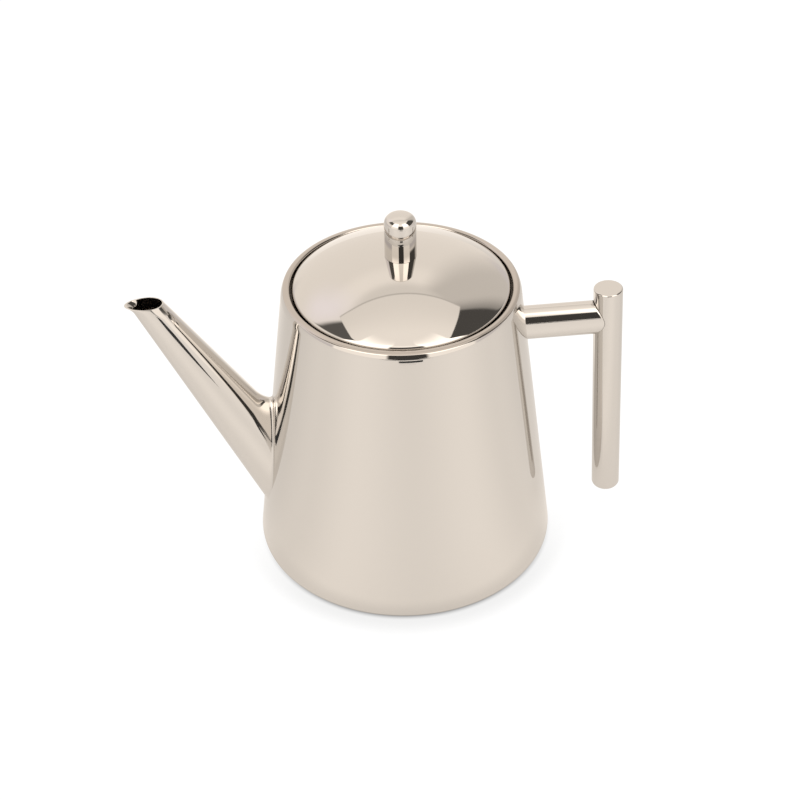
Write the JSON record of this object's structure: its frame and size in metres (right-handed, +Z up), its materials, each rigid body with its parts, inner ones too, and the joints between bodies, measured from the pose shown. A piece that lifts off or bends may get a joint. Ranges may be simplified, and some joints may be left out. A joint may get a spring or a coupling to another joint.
{
  "type": "teapot",
  "caption": "Polished steel teapot with a tapered body, a straight spout with a strainer, a T-shaped tube handle and a domed lift-off lid with a bullet knob.",
  "frame": {"origin": "on the table, where the pot's upright axis meets the flat bottom", "axes": "+Z up, +X from the pot's axis towards the handle, so the spout points along -X; the XZ plane is the plane of symmetry"},
  "size_m": [0.2112, 0.1296, 0.1604],
  "materials": {
    "polished_steel": "mirror-polished stainless steel, slightly warm",
    "satin_steel": "satin stainless steel on hidden and inner pieces"
  },
  "bodies": {
    "pot": {"body_wall": "polished_steel", "base_disc": "satin_steel", "mouth_ring": "polished_steel", "spout": "polished_steel", "spout_strainer": "satin_steel", "handle_arm": "polished_steel", "handle_bar": "polished_steel", "handle_top_cap": "polished_steel", "handle_bottom_cap": "polished_steel"},
    "lid": {"lid_dome": "polished_steel", "lid_collar": "satin_steel", "lid_knob": "polished_steel", "knob_washer": "satin_steel", "knob_screw": "satin_steel"}
  },
  "joints": [
    {"name": "lid_lift", "type": "slide", "parent": "pot", "child": "lid", "axis": [0, 0, 1], "range_m": [0, 0.06]}
  ]
}
